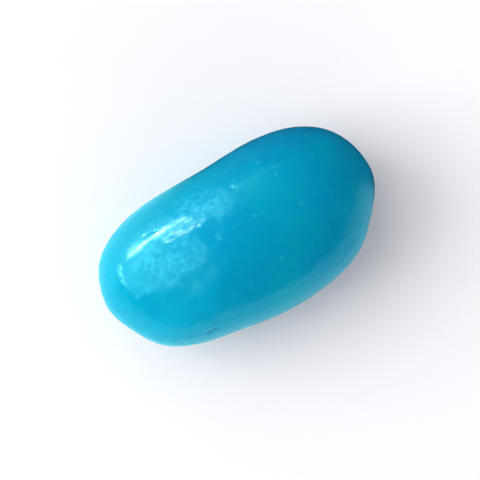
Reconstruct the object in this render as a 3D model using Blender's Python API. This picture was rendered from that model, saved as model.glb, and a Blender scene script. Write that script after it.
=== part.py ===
"""A jelly bean: a soft sweet in a hard polished sugar coat, lying on its side.

Metres, +Z up. The bean lies along X, with its straight flank towards +Y and its rounder
flank towards -Y. It rests on a small flat spot pressed into its underside. The origin is
on the surface that it lies on, under the middle of its box.
"""
import math

import bmesh
import bpy
from mathutils import Vector

MM = 0.001

# Overall size of the bean as it lies.
LENGTH = 22.0 * MM
WIDTH = 12.5 * MM
THICKNESS = 11.6 * MM

# Form of the whole body.
FULLNESS = 2.5               # exponent of the outline: 2 is an ellipse, more has blunter ends
TAPER = 0.12                 # how much wider the +X end is, as a share of the width at the middle
BEND = math.radians(12.0)    # turn of the spine from the middle to either end, towards +Y

# Uneven places of the outline seen from above. Each fades out towards the top and the underside.
# (azimuth in degrees from +X, spread in degrees, height as a share of the bean's size there)
FLANK_SWELLS = (
    (240.0, 12.0, 0.14),     # full corner of the round flank, towards the -X end
    (270.0, 12.0, 0.07),     # that corner's shoulder, at the middle of the flank
    (95.0, 15.0, -0.03),     # straight flank
    (325.0, 15.0, -0.09),    # flatter place towards the +X end
)

# Uneven places of the skin, round patches that don't reach the outline.
# (azimuth and elevation in degrees, spread in degrees, height as a share of the size there)
SKIN_SWELLS = (
    (160.0, 48.0, 14.0, 0.018),    # shoulder over the -X end
    (40.0, 60.0, 20.0, -0.014),    # slack place on top
    (290.0, 45.0, 14.0, 0.010),    # low swelling over the round flank
    (20.0, -42.0, 16.0, -0.016),   # hollow under the +X end
    (205.0, -45.0, 15.0, 0.012),   # swelling under the -X end
)

# Flat spot that the bean lies on, pressed this far into the underside.
PRESS_DEPTH = 0.14 * MM

# Mesh fineness: each level has four times the triangles of the one before it.
SPHERE_LEVELS = 5

COAT_BLUE = (0.0, 0.29, 0.50, 1.0)
COAT_ROUGHNESS = 0.28
COAT_METALLIC = 0.0


def direction(azimuth, elevation):
    """The unit vector at an azimuth from +X and an elevation from the ground, in degrees."""
    turn = math.radians(azimuth)
    lift = math.radians(elevation)
    return Vector((math.cos(turn) * math.cos(lift), math.sin(turn) * math.cos(lift), math.sin(lift)))


def clear_scene():
    """Remove whatever objects the file opened with."""
    for old in list(bpy.data.objects):
        bpy.data.objects.remove(old, do_unlink=True)


def coat_material():
    """The glossy blue sugar coat."""
    material = bpy.data.materials.new("sugar_coat")
    material.use_nodes = True
    shader = material.node_tree.nodes["Principled BSDF"]
    shader.inputs["Base Color"].default_value = COAT_BLUE
    shader.inputs["Roughness"].default_value = COAT_ROUGHNESS
    shader.inputs["Metallic"].default_value = COAT_METALLIC
    material.diffuse_color = COAT_BLUE
    return material


def flank_swelling(way):
    """The factor by which the uneven places of the outline push the skin out in one direction."""
    level = math.hypot(way.x, way.y)
    if level == 0.0:
        return 1.0
    factor = 1.0
    for azimuth, spread, height in FLANK_SWELLS:
        nearness = way.dot(direction(azimuth, 0.0)) / level - 1.0
        factor += height * level ** 2 * math.exp(nearness / math.radians(spread) ** 2)
    return factor


def skin_swelling(way):
    """The factor by which the round uneven patches push the skin out in one direction."""
    factor = 1.0
    for azimuth, elevation, spread, height in SKIN_SWELLS:
        nearness = way.dot(direction(azimuth, elevation)) - 1.0
        factor += height * math.exp(nearness / math.radians(spread) ** 2)
    return factor


def blunt_body(way):
    """The point of a blunt-ended body of length 2 and width 2 in one direction."""
    across = math.hypot(way.y, way.z)
    reach = (abs(way.x) ** FULLNESS + across ** FULLNESS) ** (-1.0 / FULLNESS)
    return way * reach * flank_swelling(way) * skin_swelling(way)


def bent(point):
    """The point carried along a spine that is an arc in the ground plane."""
    turn = point.x * BEND
    x = math.sin(turn) / BEND - point.y * math.sin(turn)
    y = (1.0 - math.cos(turn)) / BEND + point.y * math.cos(turn)
    return Vector((x, y, point.z))


def skin_point(way):
    """The point of the bean's skin in one direction, for a bean of half-length 1."""
    body = blunt_body(way)
    body.y *= (1.0 + TAPER * body.x) * WIDTH / LENGTH
    body.z *= THICKNESS / LENGTH
    return bent(body)


def fit_to_size(bm):
    """Centre the mesh on the Z axis, stand it on the ground and give it its overall size."""
    low = Vector([min(v.co[axis] for v in bm.verts) for axis in range(3)])
    high = Vector([max(v.co[axis] for v in bm.verts) for axis in range(3)])
    middle = (low + high) / 2.0
    size = (LENGTH, WIDTH, THICKNESS + PRESS_DEPTH)
    for vertex in bm.verts:
        for axis in range(3):
            share = (vertex.co[axis] - middle[axis]) / (high[axis] - low[axis])
            vertex.co[axis] = share * size[axis]
        vertex.co.z += size[2] / 2.0 - PRESS_DEPTH


def press_flat_spot(bm):
    """Press whatever reaches under the ground flat onto it."""
    for vertex in bm.verts:
        vertex.co.z = max(vertex.co.z, 0.0)


def make_bean(collection):
    """The whole bean, one closed solid."""
    bm = bmesh.new()
    bmesh.ops.create_icosphere(bm, subdivisions=SPHERE_LEVELS, radius=1.0)
    for vertex in bm.verts:
        vertex.co = skin_point(vertex.co.normalized())
    fit_to_size(bm)
    press_flat_spot(bm)
    mesh = bpy.data.meshes.new("bean")
    bm.to_mesh(mesh)
    bm.free()
    mesh.shade_smooth()
    mesh.materials.append(coat_material())
    bean = bpy.data.objects.new("bean", mesh)
    collection.objects.link(bean)
    return bean


def main():
    clear_scene()
    collection = bpy.data.collections.new("Jelly bean")
    bpy.context.scene.collection.children.link(collection)
    make_bean(collection)


main()
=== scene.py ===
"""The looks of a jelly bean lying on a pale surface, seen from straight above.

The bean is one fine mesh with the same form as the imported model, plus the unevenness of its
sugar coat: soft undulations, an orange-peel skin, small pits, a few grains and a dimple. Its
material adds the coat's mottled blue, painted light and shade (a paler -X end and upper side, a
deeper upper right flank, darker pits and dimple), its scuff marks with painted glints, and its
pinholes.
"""
import math

import bmesh
import bpy
import numpy as np
from mathutils import Euler, Matrix, Vector, kdtree, noise


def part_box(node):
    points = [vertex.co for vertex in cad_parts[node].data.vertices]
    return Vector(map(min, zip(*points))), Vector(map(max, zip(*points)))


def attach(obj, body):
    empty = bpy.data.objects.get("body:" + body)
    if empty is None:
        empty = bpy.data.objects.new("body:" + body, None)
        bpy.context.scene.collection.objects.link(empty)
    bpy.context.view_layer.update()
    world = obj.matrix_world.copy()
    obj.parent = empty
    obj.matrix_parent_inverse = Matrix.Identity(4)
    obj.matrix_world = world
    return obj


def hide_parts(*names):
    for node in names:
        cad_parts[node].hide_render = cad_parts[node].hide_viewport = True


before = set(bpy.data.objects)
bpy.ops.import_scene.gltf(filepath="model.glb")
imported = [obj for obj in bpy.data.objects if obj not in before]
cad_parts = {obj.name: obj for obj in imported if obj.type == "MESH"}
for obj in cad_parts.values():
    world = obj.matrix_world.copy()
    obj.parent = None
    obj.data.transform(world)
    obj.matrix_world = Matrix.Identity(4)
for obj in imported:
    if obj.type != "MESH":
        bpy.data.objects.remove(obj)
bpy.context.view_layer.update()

MM = 0.001

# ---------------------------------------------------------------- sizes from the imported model

BEAN_LOW, BEAN_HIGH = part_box("bean")
BEAN_MIDDLE = (BEAN_LOW + BEAN_HIGH) / 2.0
LENGTH, WIDTH, THICKNESS = BEAN_HIGH - BEAN_LOW

# ---------------------------------------------------------------- form, as in the model's source

FULLNESS = 2.5
TAPER = 0.12
BEND = math.radians(12.0)
PRESS_DEPTH = 0.14 * MM

# (azimuth in degrees from +X, spread in degrees, height as a share of the size there)
FLANK_SWELLS = (
    (240.0, 12.0, 0.14),
    (270.0, 12.0, 0.07),
    (95.0, 15.0, -0.03),
    (325.0, 15.0, -0.09),
)

# (azimuth and elevation in degrees, spread in degrees, height as a share of the size there)
SKIN_SWELLS = (
    (160.0, 48.0, 14.0, 0.018),
    (40.0, 60.0, 20.0, -0.014),
    (290.0, 45.0, 14.0, 0.010),
    (20.0, -42.0, 16.0, -0.016),
    (205.0, -45.0, 15.0, 0.012),
)

# ---------------------------------------------------------------- fineness and relief

CUBE_CUTS = 119            # cuts along each edge of the cube that the skin mesh starts from
UV_MARGIN = 0.012          # gap round each face of the cube on the texture sheet, as a share of it
SEED = 41

# Layers of smooth noise: (frequency, height)
UNDULATION = (
    (1 / (4.5 * MM), 0.045 * MM),
    (1 / (1.9 * MM), 0.012 * MM),
)
ORANGE_PEEL = (
    (1 / (0.95 * MM), 0.016 * MM),
    (1 / (0.48 * MM), 0.010 * MM),
    (1 / (0.27 * MM), 0.004 * MM),
)
LAYER_SHIFT = (7.3, 3.1)   # moves each layer of noise away from the one before it
SEED_SHIFT = 0.7           # moves every layer, once for each count of the seed

PIT_COUNT = 160
PIT_RADIUS = (0.13 * MM, 0.26 * MM)
PIT_DEPTH = (0.012 * MM, 0.035 * MM)

GRAIN_COUNT = 60
GRAIN_RADIUS = (0.11 * MM, 0.22 * MM)
GRAIN_HEIGHT = (0.004 * MM, 0.014 * MM)

SPOT_BIAS = 1.6            # exponent that makes small pits and grains commoner than large ones
SPOT_REACH = 1.6           # number of radii within which a pit or a grain shapes the skin
SPOT_FALLOFF = 2.2         # how steeply a pit, a grain or a dimple fades out from its middle

# The dimple of the upper side, two hollows that overlap: (x and y of the middle, radius, depth)
DIMPLES = (
    (-4.95 * MM, -5.15 * MM, 0.36 * MM, 0.08 * MM),
    (-4.5 * MM, -5.05 * MM, 0.30 * MM, 0.06 * MM),
)

# ---------------------------------------------------------------- coat

def srgb(red, green, blue):
    """A linear colour with alpha from 8-bit sRGB values."""
    values = []
    for value in (red, green, blue):
        share = value / 255.0
        values.append(share / 12.92 if share <= 0.04045 else ((share + 0.055) / 1.055) ** 2.4)
    return (*values, 1.0)


BODY_BLUE = srgb(0, 145, 177)
DEEP_BLUE = srgb(0, 138, 174)
TEAL_BLUE = srgb(0, 149, 171)
PALE_BLUE = srgb(20, 172, 198)
# painted light: the paler blue of the upper side
PAINTED_LIT_UPPER_BLUE = srgb(0, 164, 190)
# painted shade: the deeper blue of the upper right flank
PAINTED_SHADE_BLUE = srgb(0, 122, 166)
# painted light: the paler blue of the -X end, which faces the lamps
PAINTED_LIT_END_BLUE = srgb(8, 167, 195)
# painted glint colour, for the pale flecks in the scuff marks
PAINTED_GLINT_BLUE = srgb(55, 202, 226)
SPECK_BLUE = srgb(70, 195, 220)
# painted shade in the dimple's hollow
DIMPLE_SHADE_BLUE = srgb(0, 110, 155)

# Noises that vary the coat: (size of the lumps, detail, roughness)
BROAD_NOISE = (5.0 * MM, 1.0, 0.5)
PATCH_NOISE = (1.7 * MM, 2.0, 0.5)
MOTTLE_NOISE = (0.45 * MM, 3.0, 0.6)
SPECKLE_NOISE = (0.42 * MM, 2.0, 0.6)
FINE_NOISE = (0.20 * MM, 3.0, 0.6)
CLUSTER_NOISE = (3.0 * MM, 1.0, 0.5)

# Noise values over which one blue gives way to the next: (from, to, share at either end)
BODY_RAMP = (0.38, 0.62, 0.0, 1.0)
TEAL_RAMP = (0.45, 0.75, 0.0, 0.6)
PALE_RAMP = (0.50, 0.80, 0.0, 0.25)
# the flecks of painted glints
GLINT_FLECK_RAMP = (0.40, 0.66, 0.0, 0.42)

# Painted light and shade, areas whose blue fades in or out along X and Y: the -X end painted paler
# as lit, and others as (ramp along Y, ramp along X, colour). Each ramp is (from, to, share at either
# end).
PAINTED_LIT_END_RAMP = (0.0, -7.0 * MM, 0.0, 0.58)
PAINTED_LIGHT_AND_SHADE_AREAS = (
    # painted light: the upper side paler, fading out towards +X
    ((-2.0 * MM, 3.5 * MM, 0.0, 0.6), (2.0 * MM, 10.0 * MM, 1.0, 0.0), PAINTED_LIT_UPPER_BLUE),
    # painted shade: the upper right flank deeper blue
    ((3.4 * MM, 5.5 * MM, 0.0, 0.7), (-2.0 * MM, 4.5 * MM, 0.0, 1.0), PAINTED_SHADE_BLUE),
)
WANDER = 6.0 * MM          # how far noise shifts the edge of the painted light on the -X end
EDGE_WANDER = 0.4          # how far it shifts the other areas' edges along Y, as a share of that

# Places where the colour turns bluer or greener: (middle, inner and outer reach, share, colour)
HUE_PATCHES = (
    ((-2.2 * MM, 2.0 * MM, 10.5 * MM), 1.0 * MM, 4.8 * MM, 0.5, srgb(0, 158, 203)),
    ((1.5 * MM, -4.3 * MM, 8.5 * MM), 1.0 * MM, 3.0 * MM, 0.4, srgb(0, 164, 175)),
)

# Spots of the mesh with a tint: pale on the grains, painted shade in the pits and the dimple: (name,
# its share in the middle, colour)
SPOT_TINTS_AND_SHADE = (
    ("grain", 0.35, SPECK_BLUE),
    # painted shade in the pits
    ("pit", 0.35, DEEP_BLUE),
    # painted shade in the dimple
    ("dimple", 0.9, DIMPLE_SHADE_BLUE),
)

# Scuff marks of the polish, rougher and rubbed, which also carry painted glints in their colour:
# (middle, inner and outer reach)
SCUFF_AND_GLINT_PLACES = (
    ((-4.8 * MM, 1.4 * MM, 9.8 * MM), 2.1 * MM, 3.2 * MM),
    ((-6.8 * MM, 0.6 * MM, 9.2 * MM), 1.0 * MM, 2.2 * MM),
    ((-2.2 * MM, 3.0 * MM, 9.8 * MM), 0.8 * MM, 2.3 * MM),
    ((-0.8 * MM, 2.8 * MM, 10.0 * MM), 0.8 * MM, 2.2 * MM),
)

PINHOLE_SPACING = 0.42 * MM
PINHOLE_RADIUS = 0.11 * MM
PINHOLE_CORE = 0.2         # share of the radius over which a pinhole is at its deepest
PINHOLE_SHARE = 0.75       # share of the places in a cluster that have a pinhole
CLUSTER_RAMP = (0.40, 0.62)   # noise values over which a cluster fades in

# Relief that is too fine for the mesh: the depth of a pinhole, and two heights as shares of it.
BUMP_DEPTH = 0.012 * MM
FINE_HEIGHT = 0.35
SCUFF_HEIGHT = 1.3

GLOSS_RAMP = (0.3, 0.7, 0.15, 0.24)   # noise values, and the roughness at either end
SCUFF_ROUGHNESS = 0.10     # what a scuff adds to the roughness

COAT_SETTINGS = {
    "IOR": 1.5,
    "Specular IOR Level": 0.3,
    "Specular Tint": (0.3, 1.0, 1.0, 1.0),
    "Subsurface Weight": 0.8,
    "Subsurface Radius": (0.15, 0.7, 1.0),
    "Subsurface Scale": 2.6 * MM,
    "Coat Weight": 0.3,
    "Coat Roughness": 0.12,
    "Coat IOR": 1.45,
}

# ---------------------------------------------------------------- floor

FLOOR_HALF_WIDTH = 3.0     # metres
FLOOR_GAP = 0.005 * MM     # between the floor and the bean, so that the two don't coincide
FLOOR_WHITE = (0.80, 0.80, 0.80, 1.0)
FLOOR_ROUGHNESS = 0.7
FLOOR_SPECULAR = 0.2
FLOOR_REACH = (0.25, 0.9)  # distances over which the floor fades into the white surround

# The floor as the polish mirrors it, which has a lit side and a dark one: painted light and painted
# shade in the colour that only reflections see, with a painted cyan shade near the bean.
MIRRORED_NEAR = (0.32, 0.74, 0.76, 1.0)
MIRRORED_DARK = (0.0, 0.03, 0.06, 1.0)
MIRRORED_LIT = (0.25, 0.90, 0.95, 1.0)
LIT_SIDE = 190.0           # azimuth of the lit side
LIT_REACH = (0.3, 0.85)    # cosines of the angle from that side over which the floor grows lit
DARK_SIDE = 95.0           # azimuth of the dark side
DARK_REACH = (0.0, 0.3)    # the same cosines for that side

# ---------------------------------------------------------------- view

VIEW_TURN = math.radians(-26.0)   # the picture's rightward direction, as an azimuth from +X
VIEW_LENS = 240.0          # millimetres, long, because the view is nearly parallel
VIEW_SENSOR = 36.0         # millimetres
BEAN_SHARE = 0.62          # length of the bean as a share of the picture's width

# ---------------------------------------------------------------- light

# Azimuths of lights and of the floor's sides are from the picture's rightward direction.

WHITE = (1.0, 1.0, 1.0)
LIGHT_DISTANCE = 1.0       # metres from the bean's middle
FILL_LIGHT = (0.53, 0.49, 0.53)   # what matt surfaces get from every side
REFLECTED_SURROUND = (0.01, 0.022, 0.026)   # what the polish mirrors where nothing bright is

# Soft boards that light matt surfaces, all of one width and height in metres.
# (azimuth and elevation in degrees, radiance)
BOARD_SIZE = (0.8, 0.6)
SOFT_BOARDS = (
    (180.0, 40.0, 3.5),
    (180.0, 15.0, 1.5),
    (180.0, 65.0, 1.5),
    (135.0, 40.0, 1.0),
    (120.0, 65.0, 0.5),
    (270.0, 15.0, 1.4),
    (315.0, 15.0, 0.8),
    (240.0, 30.0, 0.3),
)

# Bright shapes that only the polish mirrors.
# (name, azimuth and elevation in degrees, width and height in metres, radiance, roll in degrees,
# number of clouds across the face, or 0 for an even face)
WALL_TINT = (0.45, 1.0, 1.0)
WALLS = (
    ("left_wall", 193.0, 46.0, 1.30, 1.42, 2.2, 0.0, 13.0),
    ("wall_glow", 160.0, 33.0, 0.75, 0.55, 2.2, 0.0, 9.0),
    ("low_glow", 156.0, 10.0, 0.80, 0.40, 2.4, 0.0, 0.0),
    ("top_edge", 193.0, 79.5, 0.80, 0.05, 5.0, 0.0, 0.0),
    ("side_edge", 235.0, 39.0, 0.05, 0.75, 5.5, -21.0, 0.0),
    ("strip", 121.0, 34.0, 0.16, 0.40, 1.8, 0.0, 6.0),
    ("far_window", 108.0, 25.0, 0.35, 0.07, 2.0, 0.0, 0.0),
    ("sill", 187.0, 12.0, 0.80, 0.08, 15.0, 24.0, 0.0),
)
WINDOW_TINT = (0.75, 1.0, 1.0)
WINDOWS = (
    ("window", 142.0, 17.5, 0.68, 0.10, 90.0, -18.0, 2.0),
    ("window_end", 150.0, 5.0, 0.15, 0.20, 9.0, 0.0, 2.0),
    ("skylight", 128.5, 39.5, 0.20, 0.075, 40.0, -40.0, 0.0),
)

# Cloudy faces of lights, whose own coordinates run from 0 to 1.
FACE_MIDDLE = (0.5, 0.5, 0.0)
CLOUD_DETAIL = 2.0
CLOUD_RANGE = (0.36, 0.62)    # noise values over which the face grows bright
CLOUD_STRENGTH = (0.2, 2.2)   # its strength at either end of that range
EDGE_FADE = (0.30, 0.58)   # distances from the middle over which the face fades out


def direction(azimuth, elevation):
    """The unit vector at an azimuth from +X and an elevation from the ground, in degrees."""
    turn = math.radians(azimuth)
    lift = math.radians(elevation)
    return np.array((math.cos(turn) * math.cos(lift), math.sin(turn) * math.cos(lift), math.sin(lift)))


# ---------------------------------------------------------------- form

def flank_swelling(ways):
    """The factors by which the uneven places of the outline push the skin out."""
    level = np.hypot(ways[:, 0], ways[:, 1])
    safe = np.maximum(level, 1e-9)
    factor = np.ones(len(ways))
    for azimuth, spread, height in FLANK_SWELLS:
        nearness = ways @ direction(azimuth, 0.0) / safe - 1.0
        factor += height * level ** 2 * np.exp(nearness / math.radians(spread) ** 2)
    return factor


def skin_swelling(ways):
    """The factors by which the round uneven patches push the skin out."""
    factor = np.ones(len(ways))
    for azimuth, elevation, spread, height in SKIN_SWELLS:
        nearness = ways @ direction(azimuth, elevation) - 1.0
        factor += height * np.exp(nearness / math.radians(spread) ** 2)
    return factor


def skin_points(ways):
    """The places of the smooth skin in each direction, for a bean of half-length 1."""
    across = np.hypot(ways[:, 1], ways[:, 2])
    reach = (np.abs(ways[:, 0]) ** FULLNESS + across ** FULLNESS) ** (-1.0 / FULLNESS)
    body = ways * (reach * flank_swelling(ways) * skin_swelling(ways))[:, None]
    body[:, 1] *= (1.0 + TAPER * body[:, 0]) * WIDTH / LENGTH
    body[:, 2] *= THICKNESS / LENGTH
    turn = body[:, 0] * BEND
    x = np.sin(turn) / BEND - body[:, 1] * np.sin(turn)
    y = (1.0 - np.cos(turn)) / BEND + body[:, 1] * np.cos(turn)
    return np.stack((x, y, body[:, 2]), axis=1)


def fitted(points, low, high):
    """The points stretched so that their box is the one given."""
    own_low, own_high = points.min(axis=0), points.max(axis=0)
    share = (points - own_low) / (own_high - own_low)
    return np.array(low) + share * (np.array(high) - np.array(low))


# ---------------------------------------------------------------- mesh

def cube_grid():
    """A cube of side 2 whose faces are even grids seen from its middle."""
    bm = bmesh.new()
    bmesh.ops.create_cube(bm, size=2.0)
    bmesh.ops.subdivide_edges(bm, edges=bm.edges[:], cuts=CUBE_CUTS, use_grid_fill=True)
    return bm


def unwrap(bm):
    """Lay the cube's six faces out on a sheet, two rows of three, for the baked textures."""
    layer = bm.loops.layers.uv.new("OFBake")
    for face in bm.faces:
        middle = face.calc_center_median()
        axis = max(range(3), key=lambda k: abs(middle[k]))
        far_side = middle[axis] > 0.0
        across, up = [k for k in range(3) if k != axis]
        for loop in face.loops:
            a = (loop.vert.co[across] + 1.0) / 2.0
            b = (loop.vert.co[up] + 1.0) / 2.0
            u = (axis + UV_MARGIN + a * (1.0 - 2.0 * UV_MARGIN)) / 3.0
            v = (far_side + UV_MARGIN + b * (1.0 - 2.0 * UV_MARGIN)) / 2.0
            loop[layer].uv = (u, v)


def vertex_array(mesh):
    """The mesh's vertex places as an array of rows."""
    flat = np.empty(len(mesh.vertices) * 3)
    mesh.vertices.foreach_get("co", flat)
    return flat.reshape(-1, 3)


def normal_array(mesh):
    """The mesh's vertex normals as an array of rows."""
    flat = np.empty(len(mesh.vertices) * 3)
    mesh.vertex_normals.foreach_get("vector", flat)
    return flat.reshape(-1, 3)


def noise_relief(points, layers):
    """The height that layers of (frequency, height) smooth noise give at each point."""
    height = np.zeros(len(points))
    for layer, (frequency, amount) in enumerate(layers):
        shift = Vector((layer * LAYER_SHIFT[0], layer * LAYER_SHIFT[1], SEED * SEED_SHIFT))
        values = [noise.noise(Vector(p) * frequency + shift) for p in points]
        height += amount * np.array(values)
    return height


def spot_closeness(distance, radius):
    """How near a place is to a spot's middle: 1 there, and about a tenth at the radius."""
    return np.exp(-SPOT_FALLOFF * (distance / radius) ** 2)


def spot_relief(points, rng, count, radii, heights):
    """The height, and the nearness from 0 to 1, of round spots scattered over the skin."""
    tree = kdtree.KDTree(len(points))
    for index, point in enumerate(points):
        tree.insert(point, index)
    tree.balance()
    height = np.zeros(len(points))
    near = np.zeros(len(points))
    for _ in range(count):
        centre = points[rng.integers(len(points))]
        size = rng.random() ** SPOT_BIAS
        radius = radii[0] + (radii[1] - radii[0]) * size
        amount = heights[0] + (heights[1] - heights[0]) * size
        for _, index, distance in tree.find_range(centre, radius * SPOT_REACH):
            closeness = spot_closeness(distance, radius)
            height[index] += amount * closeness
            near[index] = max(near[index], closeness)
    return height, near


def dimple_relief(points):
    """The depth, and the nearness from 0 to 1, of the dimple that catches the eye."""
    depth = np.zeros(len(points))
    near = np.zeros(len(points))
    above = points[points[:, 2] > THICKNESS / 2.0]
    for x, y, radius, amount in DIMPLES:
        centre = above[np.argmin(np.hypot(above[:, 0] - x, above[:, 1] - y))]
        closeness = spot_closeness(np.linalg.norm(points - centre, axis=1), radius)
        depth += amount * closeness
        near = np.maximum(near, closeness)
    return depth, near


def make_bean():
    """The bean's skin as one closed fine mesh."""
    bm = cube_grid()
    unwrap(bm)
    mesh = bpy.data.meshes.new("bean_skin")
    bm.to_mesh(mesh)
    bm.free()
    ways = np.tan(vertex_array(mesh) * math.pi / 4.0)
    ways /= np.linalg.norm(ways, axis=1)[:, None]
    low = Vector(BEAN_LOW) - Vector((0.0, 0.0, PRESS_DEPTH))
    points = fitted(skin_points(ways), low, BEAN_HIGH)
    mesh.vertices.foreach_set("co", points.ravel())
    mesh.update()
    normals = normal_array(mesh)
    rng = np.random.default_rng(SEED)
    relief = noise_relief(points, UNDULATION) + noise_relief(points, ORANGE_PEEL)
    pits, pit_near = spot_relief(points, rng, PIT_COUNT, PIT_RADIUS, PIT_DEPTH)
    grains, grain_near = spot_relief(points, rng, GRAIN_COUNT, GRAIN_RADIUS, GRAIN_HEIGHT)
    dimples, dimple_near = dimple_relief(points)
    points = points + normals * (relief - pits - dimples + grains)[:, None]
    points = fitted(points, low, BEAN_HIGH)
    points[:, 2] = np.maximum(points[:, 2], BEAN_LOW.z)
    mesh.vertices.foreach_set("co", points.ravel())
    for name, values in (("pit", pit_near), ("grain", grain_near), ("dimple", dimple_near)):
        attribute = mesh.attributes.new(name, "FLOAT", "POINT")
        attribute.data.foreach_set("value", values)
    mesh.update()
    mesh.shade_smooth()
    bean = bpy.data.objects.new("bean_coat", mesh)
    bpy.context.scene.collection.objects.link(bean)
    return bean


# ---------------------------------------------------------------- materials

class Nodes:
    """A short way to add and join a material's nodes."""

    def __init__(self, name):
        self.material = bpy.data.materials.new(name)
        self.material.use_nodes = True
        self.tree = self.material.node_tree
        self.shader = self.tree.nodes["Principled BSDF"]

    def add(self, kind, inputs=None, **settings):
        """A new node with its inputs given and its settings made."""
        node = self.tree.nodes.new(kind)
        for key, value in settings.items():
            setattr(node, key, value)
        for key, value in (inputs or {}).items():
            self.give(node.inputs[key], value)
        return node

    def give(self, socket, value):
        """Join a socket to another one, or set it to a constant."""
        if isinstance(value, bpy.types.NodeSocket):
            self.tree.links.new(value, socket)
        else:
            socket.default_value = value

    def noise(self, place, size, detail, roughness):
        """Smooth noise about 0.5, with lumps of about the size given."""
        node = self.add("ShaderNodeTexNoise", {"Vector": place, "Scale": 1.0 / size,
                                               "Detail": detail, "Roughness": roughness})
        return node.outputs["Fac"]

    def ramp(self, value, low, high, low_to=0.0, high_to=1.0):
        """A value carried smoothly from one range to another, and held at its ends."""
        node = self.add("ShaderNodeMapRange", {"Value": value, "From Min": low, "From Max": high,
                                               "To Min": low_to, "To Max": high_to},
                        interpolation_type="SMOOTHSTEP")
        return node.outputs["Result"]

    def math(self, operation, a, b):
        """Two values combined by one operation."""
        node = self.add("ShaderNodeMath", {0: a, 1: b}, operation=operation)
        return node.outputs["Value"]

    def towards(self, place, azimuth):
        """The cosine of the angle between a place's direction and an azimuth in the picture."""
        bearing = self.add("ShaderNodeVectorMath", {0: place}, operation="NORMALIZE").outputs["Vector"]
        way = direction(azimuth + math.degrees(VIEW_TURN), 0.0)
        node = self.add("ShaderNodeVectorMath", {0: bearing, 1: way}, operation="DOT_PRODUCT")
        return node.outputs["Value"]

    def near(self, place, middle, inner, outer):
        """1 within the inner distance of a point, fading to 0 at the outer distance."""
        away = self.add("ShaderNodeVectorMath", {0: place, 1: middle}, operation="DISTANCE")
        return self.ramp(away.outputs["Value"], inner, outer, 1.0, 0.0)

    def mix(self, share, a, b):
        """The first colour with a share of the second."""
        node = self.add("ShaderNodeMix", data_type="RGBA")
        self.give(node.inputs["Factor"], share)
        self.give(node.inputs["A"], a)
        self.give(node.inputs["B"], b)
        return node.outputs["Result"]


def pinholes(made, place):
    """How deep each point lies in the pinholes of the coat, which come in clusters, from 0 to 1."""
    cells = made.add("ShaderNodeTexVoronoi", {"Vector": place, "Scale": 1.0 / PINHOLE_SPACING})
    chance = made.add("ShaderNodeSeparateColor", {"Color": cells.outputs["Color"]}).outputs["Red"]
    reach = PINHOLE_RADIUS / PINHOLE_SPACING
    hole = made.ramp(cells.outputs["Distance"], PINHOLE_CORE * reach, reach, 1.0, 0.0)
    clusters = made.ramp(made.noise(place, *CLUSTER_NOISE), *CLUSTER_RAMP)
    kept = made.math("LESS_THAN", chance, made.math("MULTIPLY", clusters, PINHOLE_SHARE))
    return made.math("MULTIPLY", hole, kept)


def scuff_and_glint_share(made, place):
    """The share of scuffing at each place of the coat, from 0 to 1; the same share brings painted
    glints into the coat's colour.
    """
    most = 0.0
    for middle, inner, outer in SCUFF_AND_GLINT_PLACES:
        most = made.math("MAXIMUM", most, made.near(place, middle, inner, outer))
    return most


def mottled_blue_and_painted_light(made, place, patches):
    """The coat's mottled blue with its areas of painted light and painted shade, before its scuff
    marks, painted glints and spots.
    """
    sides = made.add("ShaderNodeSeparateXYZ", {"Vector": place}).outputs
    broad = made.noise(place, *BROAD_NOISE)
    mottle = made.noise(place, *MOTTLE_NOISE)
    colour = made.mix(made.ramp(broad, *BODY_RAMP), DEEP_BLUE, BODY_BLUE)
    colour = made.mix(made.ramp(patches, *TEAL_RAMP), colour, TEAL_BLUE)
    colour = made.mix(made.ramp(mottle, *PALE_RAMP), colour, PALE_BLUE)
    wander = made.math("MULTIPLY", made.math("SUBTRACT", patches, 0.5), WANDER)
    upper = made.math("ADD", sides["Y"], made.math("MULTIPLY", wander, EDGE_WANDER))
    # painted light on the upper side and painted shade on the upper right flank
    for y_ramp, x_ramp, tone in PAINTED_LIGHT_AND_SHADE_AREAS:
        share = made.math("MULTIPLY", made.ramp(upper, *y_ramp), made.ramp(sides["X"], *x_ramp))
        colour = made.mix(share, colour, tone)
    for middle, inner, outer, share, tone in HUE_PATCHES:
        nearness = made.near(place, middle, inner, outer)
        colour = made.mix(made.math("MULTIPLY", nearness, share), colour, tone)
    # painted light: the -X end, towards the lamps, is made paler as if lit
    lit_end_place = made.math("ADD", sides["X"], wander)
    return made.mix(made.ramp(lit_end_place, *PAINTED_LIT_END_RAMP), colour, PAINTED_LIT_END_BLUE)


def with_spot_tints_and_shade(made, colour):
    """A colour with the pale tint of the mesh's grains, and painted shade in its pits and dimple, over
    it.
    """
    for name, share, tone in SPOT_TINTS_AND_SHADE:
        nearness = made.add("ShaderNodeAttribute", attribute_name=name).outputs["Fac"]
        colour = made.mix(made.math("MULTIPLY", nearness, share), colour, tone)
    return colour


def fine_relief(made, place, speckle, scuffed_and_glinting):
    """The normal of a skin with fine grain, pinholes and rubbed places."""
    fine = made.noise(place, *FINE_NOISE)
    height = made.math("SUBTRACT", made.math("MULTIPLY", fine, FINE_HEIGHT), pinholes(made, place))
    rubbed = made.math("MULTIPLY", made.math("MULTIPLY", speckle, SCUFF_HEIGHT), scuffed_and_glinting)
    height = made.math("ADD", height, rubbed)
    bump = made.add("ShaderNodeBump", {"Strength": 1.0, "Distance": BUMP_DEPTH, "Height": height})
    return bump.outputs["Normal"]


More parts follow.
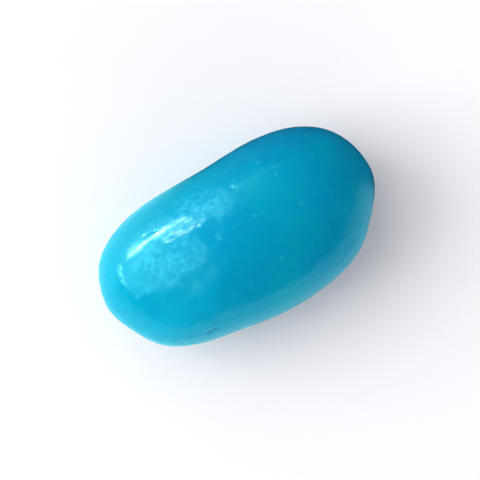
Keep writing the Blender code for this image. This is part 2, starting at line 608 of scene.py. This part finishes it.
def coat_material():
    """The polished sugar coat: mottled blue with painted light, shade and glints, waxy and slightly
    translucent.
    """
    made = Nodes("sugar_coat")
    place = made.add("ShaderNodeTexCoord").outputs["Object"]
    patches = made.noise(place, *PATCH_NOISE)
    speckle = made.noise(place, *SPECKLE_NOISE)
    scuffed_and_glinting = scuff_and_glint_share(made, place)
    # painted glints: pale flecks in the scuff marks stand in for glints of the highlight
    painted_glints = made.math("MULTIPLY", made.ramp(speckle, *GLINT_FLECK_RAMP), scuffed_and_glinting)
    colour = made.mix(painted_glints, mottled_blue_and_painted_light(made, place, patches), PAINTED_GLINT_BLUE)
    scuff_roughness = made.math("MULTIPLY", scuffed_and_glinting, SCUFF_ROUGHNESS)
    roughness = made.math("ADD", made.ramp(patches, *GLOSS_RAMP), scuff_roughness)
    normal = fine_relief(made, place, speckle, scuffed_and_glinting)
    values = {"Base Color": with_spot_tints_and_shade(made, colour), "Roughness": roughness,
              "Normal": normal, "Coat Normal": normal, **COAT_SETTINGS}
    for socket, value in values.items():
        made.give(made.shader.inputs[socket], value)
    return made.material


def floor_material():
    """Plain matt board: white, with painted light and shade in the colour that the polish mirrors, and
    brightest in the distance.
    """
    made = Nodes("pale_floor")
    path = made.add("ShaderNodeLightPath")
    place = made.add("ShaderNodeTexCoord").outputs["Object"]
    dark_share = made.ramp(made.towards(place, DARK_SIDE), *DARK_REACH)
    lit_share = made.ramp(made.towards(place, LIT_SIDE), *LIT_REACH)
    # painted reflection: lit floor on one side, painted shade on the other and near the bean
    mirrored = made.mix(lit_share, made.mix(dark_share, MIRRORED_NEAR, MIRRORED_DARK), MIRRORED_LIT)
    colour = made.mix(path.outputs["Is Glossy Ray"], FLOOR_WHITE, mirrored)
    made.give(made.shader.inputs["Base Color"], colour)
    made.give(made.shader.inputs["Roughness"], FLOOR_ROUGHNESS)
    made.give(made.shader.inputs["Specular IOR Level"], FLOOR_SPECULAR)
    away = made.add("ShaderNodeVectorMath", {0: place}, operation="LENGTH").outputs["Value"]
    fade = made.math("MULTIPLY", made.ramp(away, *FLOOR_REACH), path.outputs["Is Camera Ray"])
    white = made.add("ShaderNodeEmission", {"Color": (*WHITE, 1.0)}).outputs["Emission"]
    blend = made.add("ShaderNodeMixShader", {0: fade, 1: made.shader.outputs["BSDF"], 2: white})
    made.give(made.tree.nodes["Material Output"].inputs["Surface"], blend.outputs["Shader"])
    return made.material


# ---------------------------------------------------------------- stage

def in_view(azimuth, elevation, distance):
    """The place at a distance from the bean's middle, at an azimuth in the picture."""
    return BEAN_MIDDLE + Vector(direction(azimuth + math.degrees(VIEW_TURN), elevation)) * distance


def make_floor():
    """A wide plain floor under the bean."""
    bm = bmesh.new()
    bmesh.ops.create_grid(bm, x_segments=1, y_segments=1, size=FLOOR_HALF_WIDTH)
    mesh = bpy.data.meshes.new("floor")
    bm.to_mesh(mesh)
    bm.free()
    mesh.materials.append(floor_material())
    floor = bpy.data.objects.new("floor", mesh)
    floor.location.z = BEAN_LOW.z - FLOOR_GAP
    bpy.context.scene.collection.objects.link(floor)


def panel(name, azimuth, elevation, width, height, radiance, roll=0.0, tint=WHITE):
    """A rectangular light of one radiance that faces the bean."""
    light = bpy.data.lights.new(name, "AREA")
    light.shape = "RECTANGLE"
    light.size = width
    light.size_y = height
    light.energy = radiance * math.pi * width * height
    light.color = tint
    lamp = bpy.data.objects.new(name, light)
    lamp.location = in_view(azimuth, elevation, LIGHT_DISTANCE)
    inwards = BEAN_MIDDLE - lamp.location
    facing = inwards.to_track_quat("-Z", "Y").to_matrix().to_4x4()
    lamp.rotation_euler = (facing @ Matrix.Rotation(math.radians(roll), 4, "Z")).to_euler()
    lamp.visible_camera = False
    bpy.context.scene.collection.objects.link(lamp)
    return lamp


def make_uneven(light, cells):
    """Give a light a cloudy face that fades towards its edges, about this many clouds across."""
    light.use_nodes = True
    tree = light.node_tree
    place = tree.nodes.new("ShaderNodeNewGeometry").outputs["Parametric"]
    clouds = tree.nodes.new("ShaderNodeTexNoise")
    clouds.inputs["Scale"].default_value = cells
    clouds.inputs["Detail"].default_value = CLOUD_DETAIL
    tree.links.new(place, clouds.inputs["Vector"])
    cloudy = value_map(tree, clouds.outputs["Fac"], CLOUD_RANGE, CLOUD_STRENGTH)
    away = tree.nodes.new("ShaderNodeVectorMath")
    away.operation = "DISTANCE"
    away.inputs[1].default_value = FACE_MIDDLE
    tree.links.new(place, away.inputs[0])
    fading = value_map(tree, away.outputs["Value"], EDGE_FADE, (1.0, 0.0))
    product = tree.nodes.new("ShaderNodeMath")
    product.operation = "MULTIPLY"
    tree.links.new(cloudy, product.inputs[0])
    tree.links.new(fading, product.inputs[1])
    tree.links.new(product.outputs["Value"], tree.nodes["Emission"].inputs["Strength"])


def value_map(tree, value, given, wanted):
    """A value carried smoothly from one range to another."""
    node = tree.nodes.new("ShaderNodeMapRange")
    node.interpolation_type = "SMOOTHSTEP"
    for name, number in zip(("From Min", "From Max", "To Min", "To Max"), (*given, *wanted)):
        node.inputs[name].default_value = number
    tree.links.new(value, node.inputs["Value"])
    return node.outputs["Result"]


def make_world():
    """A soft surround: white to the camera, a pale fill on matt things, and dim in reflections."""
    world = bpy.data.worlds.new("surround")
    bpy.context.scene.world = world
    world.use_nodes = True
    tree = world.node_tree
    path = tree.nodes.new("ShaderNodeLightPath")
    fill = tree.nodes.new("ShaderNodeMix")
    fill.data_type = "RGBA"
    fill.inputs["A"].default_value = (*REFLECTED_SURROUND, 1.0)
    fill.inputs["B"].default_value = (*FILL_LIGHT, 1.0)
    tree.links.new(path.outputs["Is Diffuse Ray"], fill.inputs["Factor"])
    seen = tree.nodes.new("ShaderNodeMix")
    seen.data_type = "RGBA"
    seen.inputs["B"].default_value = (*WHITE, 1.0)
    tree.links.new(path.outputs["Is Camera Ray"], seen.inputs["Factor"])
    tree.links.new(fill.outputs["Result"], seen.inputs["A"])
    tree.links.new(seen.outputs["Result"], tree.nodes["Background"].inputs["Color"])


def make_lights():
    """Soft light from the picture's left, and the bright shapes that the polish mirrors."""
    for azimuth, elevation, radiance in SOFT_BOARDS:
        board = panel("board", azimuth, elevation, *BOARD_SIZE, radiance)
        board.visible_glossy = False
    for tint, shapes in ((WALL_TINT, WALLS), (WINDOW_TINT, WINDOWS)):
        for *form, cells in shapes:
            shape = panel(*form, tint)
            shape.visible_diffuse = False
            if cells:
                make_uneven(shape.data, cells)


def make_camera():
    """A camera straight above, turned so that the bean lies aslant in the picture."""
    camera = bpy.data.cameras.new("camera")
    camera.lens = VIEW_LENS
    camera.sensor_width = VIEW_SENSOR
    holder = bpy.data.objects.new("camera", camera)
    distance = LENGTH / BEAN_SHARE * VIEW_LENS / VIEW_SENSOR
    holder.location = BEAN_MIDDLE + Vector((0.0, 0.0, distance))
    holder.rotation_euler = Euler((0.0, 0.0, VIEW_TURN))
    bpy.context.scene.collection.objects.link(holder)
    bpy.context.scene.camera = holder


# ---------------------------------------------------------------- the scene

make_camera()
bean = make_bean()
bean.data.materials.append(coat_material())
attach(bean, "root")
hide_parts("bean")
make_floor()
make_world()
make_lights()
bpy.context.scene.view_settings.view_transform = "Standard"
